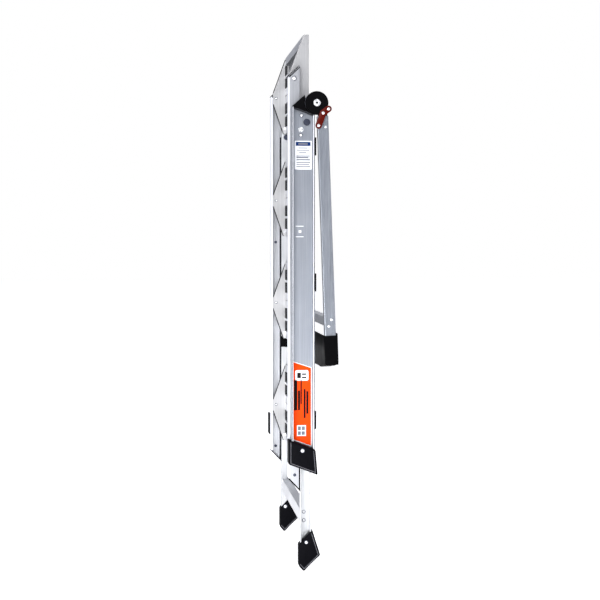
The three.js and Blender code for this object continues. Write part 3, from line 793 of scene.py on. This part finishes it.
def addShadePads(bm, pin):
    for sign in sides.values():
        a, b = sorted((sign * shadePad["start"], sign * shadePad["end"]))
        for base in shadePad["planks"]:
            for start in shadePad["along"]:
                low = pin.z + base + start
                high = low + shadePad["height"]
                front, back = pin.y + shadePad["front"], pin.y + shadePad["back"]
                hole = [(front, low), (back, low), (back, high), (front, high)]
                sweep(bm, roundedOutline(hole, shadePad["corner"], 3), a, b, "x")


for step, pin in zip(steps, railPins):
    piece = addMesh(f"{step}_cheek_shade_pads", lambda bm: addShadePads(bm, pin), recessShadePads)
    settle(piece, step, "cheek_aluminium")


boot = {
    "round": 2.6 * mm,
    "corner": 4.2 * mm,
    "grooves": 5 * mm,
    "groove": 1.5 * mm,
    "plain": 6 * mm,  # no grooves this near to the sole's ends
    "welt": 1.2 * mm,
    # the front boots: where the sole starts, its length, and the corners above it
    "frontToe": 9.7 * mm,
    "frontSole": 64 * mm,
    "frontTop": (34 * mm, 114 * mm),
    "frontNose": (15 * mm, 73 * mm),
    # the rear boots
    "rearHeight": 67 * mm,
    "rearOverhang": 2 * mm,
}


def groovedSole(start, end):
    # shallow cross grooves between two points of the sole
    run = end - start
    across = Vector((-run.y, run.x)).normalized() * boot["groove"]
    count = int(run.length / boot["grooves"])
    points = []
    for k in range(count):
        for at, inward in ((0.2, 0), (0.35, 1), (0.65, 1), (0.8, 0)):
            points.append(tuple(start + run * (k + at) / count + across * inward))
    return points


def addBoot(name, body, sole, rest, start, end, sign):
    # sole: its two ends; rest: the other corners, in order after the sole
    toe, heel = Vector(sole[0]), Vector(sole[1])
    margin = (heel - toe).normalized() * boot["plain"]
    corners = sole + rest
    eased = roundedOutline(corners, boot["corner"], 5)
    low, high = sorted((sign * start, sign * end))
    # eased starts with the toe's five points, and the heel's come next
    outline = eased[:5] + groovedSole(toe + margin, heel - margin) + eased[5:]
    piece = addMesh(name + "_boot", lambda bm: easedEnds(bm, outline, low, high, boot["round"]), footRubber)
    smoothShade(piece, 50)
    settle(piece, body, "foot_rubber", name)
    middle = sum((Vector(p) for p in corners), Vector((0, 0))) / len(corners)
    inset = [tuple(middle + (Vector(p) - middle) * 0.86) for p in [rest[-1], sole[0], sole[1], rest[0]]]
    # a raised welt on each face, in lighter rubber that paints the rim highlight
    for place, face in (("inner", start), ("outer", end)):
        a, b = sorted((sign * (face - 0.4 * mm), sign * (face + 0.3 * mm)))
        strip(f"{name}_welt_{place}", body, inset, boot["welt"], a, b, weltHighlight, "foot_rubber")


for side, sign in sides.items():
    low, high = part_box(f"front_foot_{side}")
    toe = (datum + boot["frontToe"], 0.0)
    length = boot["frontSole"]
    heel = (toe[0] + length * math.cos(frontLean), length * math.sin(frontLean))
    topY, topZ = boot["frontTop"]
    noseLow, noseHigh = boot["frontNose"]
    rest = [(datum + topY, topZ), (low.y, noseHigh), (low.y, noseLow)]
    inner, outer = sorted((abs(low.x), abs(high.x)))
    addBoot(f"front_foot_{side}", "front_frame", [toe, heel], rest, inner, outer, sign)

    low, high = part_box(f"rear_foot_{side}")
    tilt = math.tan(rearLean)
    back = rearRail[1].y + boot["rearOverhang"]
    # the sole's height at its front, at its back, and under the boot's back top corner
    frontSole, backSole, underBack = (low.z + tilt * (high.y - y) for y in (low.y, high.y, back))
    rest = [(back, underBack + boot["rearHeight"]), (low.y, frontSole + boot["rearHeight"])]
    inner, outer = sorted((abs(low.x), abs(high.x)))
    sole = [(low.y, frontSole), (high.y, backSole)]
    addBoot(f"rear_foot_{side}", "rear_frame", sole, rest, inner, outer, sign)
print("boots made")


# the handrail hangs from its hinge, a little tilted
handFrame = Matrix.Translation(handPivot) @ Matrix.Rotation(handTilt, 4, "X")
fluted = {
    "inner": 292 * mm,
    "outer": 318 * mm,
    "front": 0.8 * mm,
    "back": 30.8 * mm,
    "wall": 2 * mm,
    "flutes": 7,
    "depth": 0.7 * mm,
    "top": -36 * mm,
    "bottom": -660 * mm,
    "rivet": (3.6 * mm, 1.6 * mm),  # radius and height
    "rivets": {
        "top": (9 * mm, -52 * mm),
        "arm": (22 * mm, -66 * mm),
        "brace_low": (12 * mm, -612 * mm),
        "brace_high": (20 * mm, -594 * mm),
    },
}


def flutedOutline(sign):
    f = fluted
    inner, outer, front, back = f["inner"], f["outer"], f["front"], f["back"]
    pitch = (back - front - 4 * mm) / f["flutes"]
    sunk = outer - f["depth"]
    outerFace = []
    for k in range(f["flutes"]):
        y = front + 2 * mm + k * pitch
        outerFace += [(outer, y), (sunk, y + 0.2 * pitch)]
        outerFace += [(sunk, y + 0.45 * pitch), (outer, y + 0.65 * pitch)]
    corner = roundedOutline([(inner, front), (outer, front), (outer, back), (inner, back)], 1.4 * mm, 3)
    points = corner[:6] + outerFace + corner[6:]
    return [(sign * x, y) for x, y in points]


def tube(bm, outline, start, end, inside):
    # a closed outline carried up Z, hollow: inside gives the bore's point for each outer point
    rings = []
    for bore, z in ((False, start), (False, end), (True, end), (True, start)):
        rings.append([bm.verts.new((*(inside(p) if bore else p), z)) for p in outline])
    for a, b in zip(rings, rings[1:] + rings[:1]):
        for i in range(len(outline)):
            j = (i + 1) % len(outline)
            bm.faces.new((a[i], a[j], b[j], b[i]))
    bmesh.ops.remove_doubles(bm, verts=bm.verts, dist=1e-6)


for side, sign in sides.items():
    f = fluted

    def bore(p):
        x = min(max(abs(p[0]), f["inner"] + f["wall"]), f["outer"] - f["wall"])
        return sign * x, min(max(p[1], f["front"] + f["wall"]), f["back"] - f["wall"])

    rail = addMesh(
        f"handrail_fluted_rail_{side}",
        lambda bm: tube(bm, flutedOutline(sign), f["bottom"], f["top"], bore), handMetal,
    )
    rail.data.transform(handFrame)
    smoothShade(rail, 30)
    settle(rail, "handrail", "rail_aluminium", f"handrail_rail_{side}")
    for name, (y, z) in f["rivets"].items():
        head = addMesh(
            f"handrail_{name}_rivet_{side}",
            lambda bm: rivetHead(bm, (sign * f["outer"], y, z), sign, *f["rivet"]), zinc,
        )
        head.data.transform(handFrame)
        settle(smoothShade(head), "handrail", "zinc_steel")


gripSize = {
    "half": 321 * mm,
    "front": -2.2 * mm,
    "back": 35.5 * mm,
    "top": -632 * mm,
    "end": -719 * mm,
    "crown": 18 * mm,
    "slant": 6 * mm,
    "scoop": 30 * mm,
    "post": 284 * mm,
    "ease": 20 * mm,  # from the posts down to the scoop
    "wall": 3 * mm,
    "floor": 12 * mm,
    "round": 7 * mm,
    "edge": 3 * mm,  # rounding of the two ends
    "rib": 1.4 * mm,  # half its thickness
    "ribs": (63.6 * mm, 190.8 * mm, 319.5 * mm),  # on both sides of the middle
}


def gripSection(x):
    # the open moulding cut across at x, crowned below and scooped above
    g = gripSize
    across = abs(x) / g["half"]
    spots = [(0, 1), (0.55, 0.85), (0.85, 0.3), (1, 0)]
    share = 0
    for (a, high), (b, low) in zip(spots, spots[1:]):
        if a <= across <= b:
            t = (across - a) / (b - a)
            share = high + (low - high) * (3 * t * t - 2 * t ** 3)
    bottom = g["end"] - g["crown"] * share
    t = min(1, max(0, (g["post"] - abs(x)) / g["ease"]))
    backTop = g["top"] - g["scoop"] * (3 * t * t - 2 * t ** 3)
    frontTop = g["top"] - g["slant"]
    w, r = g["wall"], g["round"]
    front, back = g["front"], g["back"]
    outside = [(front, frontTop)]
    outside += arc((front + r, bottom + r), r, 180, 270, 6)
    outside += arc((back - r * 1.3, bottom + r * 1.3), r * 1.3, 270, 360, 6)
    outside += arc((back - 1.2 * mm, backTop - 1.2 * mm), 1.2 * mm, 0, 90, 3)
    floor, frontWall = bottom + g["floor"], front + w - 0.3 * mm
    inside = [(back - w, backTop), (back - w, floor), (frontWall, floor), (frontWall, frontTop)]
    return outside + inside


def gripBody(bm):
    g = gripSize
    stations = [g["half"] * math.sin(math.pi / 2 * k / 30) for k in range(-30, 31)]
    stations += [sign * (g["post"] - g["ease"] * k / 5) for sign in (-1, 1) for k in range(6)]
    stations = sorted(set(round(x, 5) for x in stations))
    rings = []
    for x in stations:
        ease = max(0, abs(x) - g["half"] + g["edge"])
        inset = g["edge"] - math.sqrt(max(0, g["edge"] ** 2 - ease ** 2))
        section = gripSection(x)
        middle = Vector(((g["front"] + g["back"]) / 2, (g["top"] + g["end"]) / 2))
        spots = [middle + (Vector(p) - middle) * (1 - inset / (40 * mm)) for p in section]
        rings.append([bm.verts.new((x, p.x, p.y)) for p in spots])
    for a, b in zip(rings, rings[1:]):
        for i in range(len(a)):
            j = (i + 1) % len(a)
            bm.faces.new((a[i], a[j], b[j], b[i]))
    # closed ends and the ribs between the cells
    for ring in (rings[0], rings[-1]):
        bm.faces.new(ring)
    for x in [-x for x in reversed(g["ribs"])] + list(g["ribs"]):
        section = gripSection(x)
        top = section[-1][1] if abs(x) > g["post"] else section[-4][1] - 1 * mm
        bottom = section[6][1] + 1 * mm
        front, back = g["front"] + 1 * mm, g["back"] - 1 * mm
        wall = [(front, bottom), (back, bottom), (back, top), (front, top)]
        sweep(bm, wall, x - g["rib"], x + g["rib"], "x")


gripPiece = addMesh("handrail_grip_moulding", gripBody, gripPlastic)
gripPiece.data.transform(handFrame)
smoothShade(gripPiece, 40)
settle(gripPiece, "handrail", "grip_plastic", "handrail_grip")


lever = {
    "thickness": 3 * mm,
    "half": 9 * mm,
    "rivet": 4 * mm,
    "rivetHeight": 1.8 * mm,
    "start": 321.3 * mm,
    "pivot": (15.8 * mm, -28.5 * mm),  # from the handrail's hinge
    "tail": (-13.6 * mm, -34 * mm),  # from the pivot, as is the tip
    "tip": (15.4 * mm, 11 * mm),
}
hinge = {
    "boltFace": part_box("hinge_bolt_right")[1].x - 2.6 * mm,
    # the bolt's slot, as (distance out, radius)
    "slot": [(0, 0), (0, 3.3 * mm), (1.6 * mm, 3.3 * mm), (1.8 * mm, 0)],
    "capHighlight": 32.4 * mm,
    "capHighlightWidth": 0.5 * mm,
    "capHighlightStart": 305 * mm,
    "capHighlightEnd": 319 * mm,
}
for side, sign in sides.items():
    pivot = Vector(lever["pivot"])
    tail, tip = pivot + Vector(lever["tail"]), pivot + Vector(lever["tip"])

    def sideways(a, b):
        run = (b - a).normalized()
        return Vector((-run.y, run.x)) * lever["half"]

    first, second = sideways(tail, pivot), sideways(pivot, tip)
    turn = math.degrees(math.atan2(first.y, first.x))
    outline = arc(tail, lever["half"], turn, turn + 180, 9)
    bend = (first + second).normalized() * lever["half"]
    outline.append(tuple(pivot - bend * 1.03))
    turn = math.degrees(math.atan2(second.y, second.x))
    outline += arc(tip, lever["half"], turn - 180, turn, 9)
    outline.append(tuple(pivot + bend * 1.03))
    low, high = sorted((sign * lever["start"], sign * (lever["start"] + lever["thickness"])))
    piece = addMesh(
        f"latch_lever_plate_{side}", lambda bm: easedEnds(bm, outline, low, high, 1 * mm), latchPlastic,
    )
    piece.data.transform(handFrame)
    settle(smoothShade(piece, 40), f"latch_{side}", "latch_plastic", f"latch_lever_{side}")
    plateFace = sign * (lever["start"] + lever["thickness"] - 0.2 * mm)
    for name, at in (("tail", tail), ("pivot", pivot), ("tip", tip)):
        spot = (plateFace, at.x, at.y)
        head = addMesh(
            f"latch_{name}_rivet_{side}",
            lambda bm: rivetHead(bm, spot, sign, lever["rivet"], lever["rivetHeight"], False), zinc,
        )
        head.data.transform(handFrame)
        settle(smoothShade(head), f"latch_{side}", "zinc_steel")
    # a dark disc paints the shade in the hinge bolt's socket, and a grey arc between disc and cap paints a
    # highlight on the cap's edge
    spot = (sign * hinge["boltFace"], handPivot.y, handPivot.z)
    # painted shade: a dark disc in the bolt's socket
    slot = addMesh(
        f"hinge_bolt_slot_{side}", lambda bm: lathe(bm, hinge["slot"], spot, sign, 6), paintedShadeBlack,
    )
    settle(slot, "handrail", "dark_steel")
    # painted highlight: a grey arc on the cap's edge
    capHighlight = arc((handPivot.y, handPivot.z), hinge["capHighlight"], 150, 205, 14)
    start, end = sorted((sign * hinge["capHighlightStart"], sign * hinge["capHighlightEnd"]))
    strip(
        f"hinge_cap_highlight_{side}", "rear_frame", capHighlight, -hinge["capHighlightWidth"], start, end,
        greyPrintAndHighlight, "cap_plastic",
    )
print("handrail, grip and latches made")


def panel(name, outline, layer, film, slotName):
    # a thin printed film on the near rear rail's web; places are from the datum, in mm
    spots = [(datum + y * mm, z * mm) for y, z in outline]
    start = rearWeb + (0.05 + 0.3 * layer) * mm
    piece = addMesh(name, lambda bm: sweep(bm, spots, start, start + 0.28 * mm, "x"), film)
    settle(piece, "rear_frame", slotName)


def patch(y0, z0, y1, z1):
    return [(y0, z0), (y1, z0), (y1, z1), (y0, z1)]


rearLabel = {
    "edge": [(-21, 580.5), (30.5, 563.5), (30.5, 346), (-21, 364)],
    "field": [(-19.5, 578), (29, 562), (29, 348), (-19.5, 366)],
    "bars": [
        patch(-18, 446, -9, 529), patch(-7, 446, -1, 500), patch(0, 462, 3.6, 529),
        patch(8.6, 424, 14, 504), patch(16, 436, 22, 498),
    ],
    "badge": patch(-15, 527, 22, 556),
    "badgeMark": [patch(-9, 534, 1, 549), patch(4, 534, 16, 538), patch(4, 543, 16, 547)],
    "picture": patch(-10, 375, 15, 404.5),
    "cells": [
        patch(-7, 378, 1, 388), patch(3, 378, 12, 388), patch(-7, 391, 1, 401.5), patch(3, 391, 12, 401.5),
    ],
}
topLabel = {
    "field": patch(-16, 1108, 31, 1187),
    "header": patch(-13, 1173, 28, 1184),
    "headerMark": patch(-6, 1176, 20, 1181),
    # each line's start, end and height
    "lines": [
        (-6, 20, 1166), (-9, 24, 1160), (-4, 16, 1154), (-11, 26, 1144), (-11, 22, 1139),
        (-11, 26, 1133), (-11, 27, 1126), (-11, 24, 1121), (-11, 27, 1115),
    ],
    "boldBetween": (1130, 1142),
    "bold": 3.6,
    "light": 2.4,
}
smallMarks = [patch(-13, 951, 8.6, 953), patch(-13, 922, 8.6, 924), patch(-5, 934, 2, 941)]
panel("warning_label_edge", rearLabel["edge"], 0, whiteFilm, "white_label")
panel("warning_label", rearLabel["field"], 1, orangeFilm, "orange_label")
panel("warning_label_badge", roundedOutline(rearLabel["badge"], 5), 2, whiteFilm, "white_label")
panel("warning_label_picture", rearLabel["picture"], 2, whiteFilm, "white_label")
for k, bar in enumerate(rearLabel["bars"]):
    panel(f"warning_label_bar_{k}", bar, 2, inkFilm, "orange_label")
for k, mark in enumerate(rearLabel["badgeMark"]):
    panel(f"warning_label_mark_{k}", mark, 3, inkFilm, "white_label")
for k, cell in enumerate(rearLabel["cells"]):
    panel(f"warning_label_cell_{k}", cell, 3, greyPrintAndHighlight, "white_label")
panel("upper_label", roundedOutline(topLabel["field"], 2), 0, whiteFilm, "white_label")
panel("upper_label_header", topLabel["header"], 1, blueFilm, "white_label")
panel("upper_label_header_mark", topLabel["headerMark"], 2, greyPrintAndHighlight, "white_label")
for k, (y0, y1, z) in enumerate(topLabel["lines"]):
    boldLow, boldHigh = topLabel["boldBetween"]
    thick = topLabel["bold"] if boldLow < z < boldHigh else topLabel["light"]
    panel(f"upper_label_line_{k}", patch(y0, z, y1, z + thick), 1, greyPrintAndHighlight, "white_label")
for k, bar in enumerate(smallMarks):
    panel(f"small_mark_{k}", bar, 0, whiteFilm, "white_label")
print("labels set")
